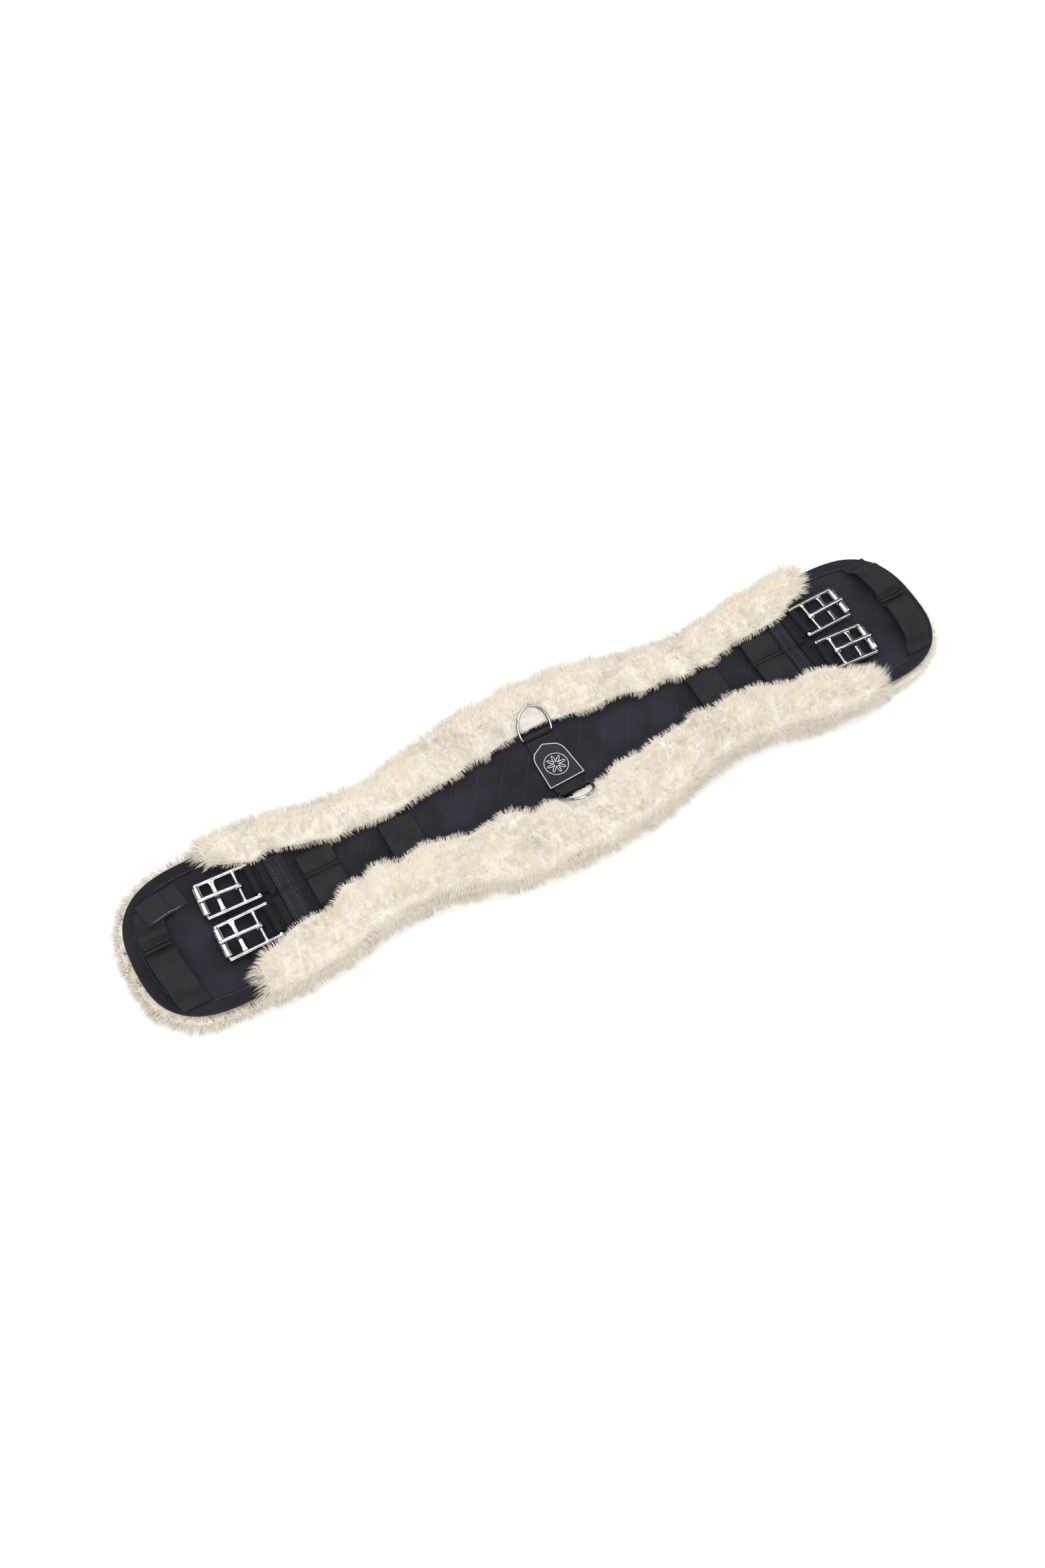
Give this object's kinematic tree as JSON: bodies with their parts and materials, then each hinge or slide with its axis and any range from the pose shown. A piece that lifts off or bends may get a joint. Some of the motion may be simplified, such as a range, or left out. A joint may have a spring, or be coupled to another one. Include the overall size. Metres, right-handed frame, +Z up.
{
  "type": "saddle girth",
  "caption": "Anatomically shaped saddle girth: lambskin rolled over its edges, cloth centre, roller buckles on elastics at both ends, webbing keepers and D-rings.",
  "frame": {"origin": "on the surface the girth lies on, under the middle of its length and width", "axes": "+X along the girth towards the end without the label, +Y across it towards the far edge, +Z up from the fleece side to the buckle side"},
  "size_m": [0.86, 0.186, 0.0479],
  "materials": {
    "fleece": "dense cream wool pile",
    "hide": "tanned sheepskin, suede side",
    "foam": "closed-cell padding",
    "cloth": "matt soft-shell cloth",
    "binding": "matt cloth, turned and stitched",
    "webbing": "ribbed woven webbing",
    "elastic": "ribbed elastic webbing",
    "steel": "polished stainless steel",
    "badge_cloth": "woven patch with light embroidery",
    "label_cloth": "woven satin label"
  },
  "bodies": {
    "girth": {"lambskin_underside": "fleece", "hide_backing": "hide", "foam_core": "foam", "centre_cover": "cloth", "end_pad_left": "cloth", "end_binding_left": "binding", "end_pad_right": "cloth", "end_binding_right": "binding", "fleece_roll_rear": "fleece", "fleece_roll_front": "fleece", "plain_keeper_left": "webbing", "plain_keeper_right": "webbing", "double_keeper_left": "webbing", "double_keeper_right": "webbing", "end_keeper_left": "webbing", "end_keeper_right": "webbing", "ring_strap": "webbing", "badge": "badge_cloth", "elastic_pocket_left": "cloth", "sewn_band_left": "binding", "elastic_pocket_right": "cloth", "sewn_band_right": "binding", "woven_label": "label_cloth"},
    "elastic_end_rear_left": {"elastic_rear_left": "elastic"},
    "buckle_rear_left": {"buckle_frame_rear_left": "steel"},
    "tongue_rear_left": {"buckle_tongue_rear_left": "steel"},
    "roller_rear_left": {"buckle_roller_rear_left": "steel"},
    "elastic_end_front_left": {"elastic_front_left": "elastic"},
    "buckle_front_left": {"buckle_frame_front_left": "steel"},
    "tongue_front_left": {"buckle_tongue_front_left": "steel"},
    "roller_front_left": {"buckle_roller_front_left": "steel"},
    "elastic_end_rear_right": {"elastic_rear_right": "elastic"},
    "buckle_rear_right": {"buckle_frame_rear_right": "steel"},
    "tongue_rear_right": {"buckle_tongue_rear_right": "steel"},
    "roller_rear_right": {"buckle_roller_rear_right": "steel"},
    "elastic_end_front_right": {"elastic_front_right": "elastic"},
    "buckle_front_right": {"buckle_frame_front_right": "steel"},
    "tongue_front_right": {"buckle_tongue_front_right": "steel"},
    "roller_front_right": {"buckle_roller_front_right": "steel"},
    "ring_rear": {"ring_rear": "steel"},
    "ring_front": {"ring_front": "steel"}
  },
  "joints": [
    {"name": "stretch_rear_left", "type": "slide", "parent": "girth", "child": "elastic_end_rear_left", "axis": [-0.9993, 0.0366, 0], "range_m": [0, 0.018], "stiffness_N_per_m": 3000},
    {"name": "tilt_rear_left", "type": "hinge", "parent": "elastic_end_rear_left", "child": "buckle_rear_left", "pos_m": [-0.297, 0.0246, 0.0286], "axis": [0.0366, 0.9993, 0], "range_deg": [0, 35]},
    {"name": "tongue_rear_left", "type": "hinge", "parent": "buckle_rear_left", "child": "tongue_rear_left", "pos_m": [-0.31049, 0.02509, 0.0286], "axis": [0.0366, 0.9993, 0], "range_deg": [0, 125]},
    {"name": "roll_rear_left", "type": "hinge", "parent": "buckle_rear_left", "child": "roller_rear_left", "pos_m": [-0.34597, 0.0264, 0.0286], "axis": [0.0366, 0.9993, 0], "continuous": true},
    {"name": "stretch_front_left", "type": "slide", "parent": "girth", "child": "elastic_end_front_left", "axis": [-1, 0, 0], "range_m": [0, 0.018], "stiffness_N_per_m": 3000},
    {"name": "tilt_front_left", "type": "hinge", "parent": "elastic_end_front_left", "child": "buckle_front_left", "pos_m": [-0.297, -0.0188, 0.0286], "axis": [0, 1, 0], "range_deg": [0, 35]},
    {"name": "tongue_front_left", "type": "hinge", "parent": "buckle_front_left", "child": "tongue_front_left", "pos_m": [-0.3105, -0.0188, 0.0286], "axis": [0, 1, 0], "range_deg": [0, 125]},
    {"name": "roll_front_left", "type": "hinge", "parent": "buckle_front_left", "child": "roller_front_left", "pos_m": [-0.346, -0.0188, 0.0286], "axis": [0, 1, 0], "continuous": true},
    {"name": "stretch_rear_right", "type": "slide", "parent": "girth", "child": "elastic_end_rear_right", "axis": [0.9995, 0.0314, 0], "range_m": [0, 0.018], "stiffness_N_per_m": 3000},
    {"name": "tilt_rear_right", "type": "hinge", "parent": "elastic_end_rear_right", "child": "buckle_rear_right", "pos_m": [0.298, 0.0226, 0.0286], "axis": [0.0314, -0.9995, 0], "range_deg": [0, 35]},
    {"name": "tongue_rear_right", "type": "hinge", "parent": "buckle_rear_right", "child": "tongue_rear_right", "pos_m": [0.31149, 0.02302, 0.0286], "axis": [0.0314, -0.9995, 0], "range_deg": [0, 125]},
    {"name": "roll_rear_right", "type": "hinge", "parent": "buckle_rear_right", "child": "roller_rear_right", "pos_m": [0.34698, 0.02414, 0.0286], "axis": [0.0314, -0.9995, 0], "continuous": true},
    {"name": "stretch_front_right", "type": "slide", "parent": "girth", "child": "elastic_end_front_right", "axis": [0.9982, -0.0593, 0], "range_m": [0, 0.018], "stiffness_N_per_m": 3000},
    {"name": "tilt_front_right", "type": "hinge", "parent": "elastic_end_front_right", "child": "buckle_front_right", "pos_m": [0.298, -0.0221, 0.0286], "axis": [-0.0593, -0.9982, 0], "range_deg": [0, 35]},
    {"name": "tongue_front_right", "type": "hinge", "parent": "buckle_front_right", "child": "tongue_front_right", "pos_m": [0.31148, -0.0229, 0.0286], "axis": [-0.0593, -0.9982, 0], "range_deg": [0, 125]},
    {"name": "roll_front_right", "type": "hinge", "parent": "buckle_front_right", "child": "roller_front_right", "pos_m": [0.34691, -0.02501, 0.0286], "axis": [-0.0593, -0.9982, 0], "continuous": true},
    {"name": "ring_rear_swing", "type": "hinge", "parent": "girth", "child": "ring_rear", "pos_m": [0.004, 0.036, 0.0266], "axis": [1, 0, 0], "range_deg": [0, 110]},
    {"name": "ring_front_swing", "type": "hinge", "parent": "girth", "child": "ring_front", "pos_m": [0.004, -0.031, 0.0266], "axis": [-1, 0, 0], "range_deg": [0, 110]}
  ]
}
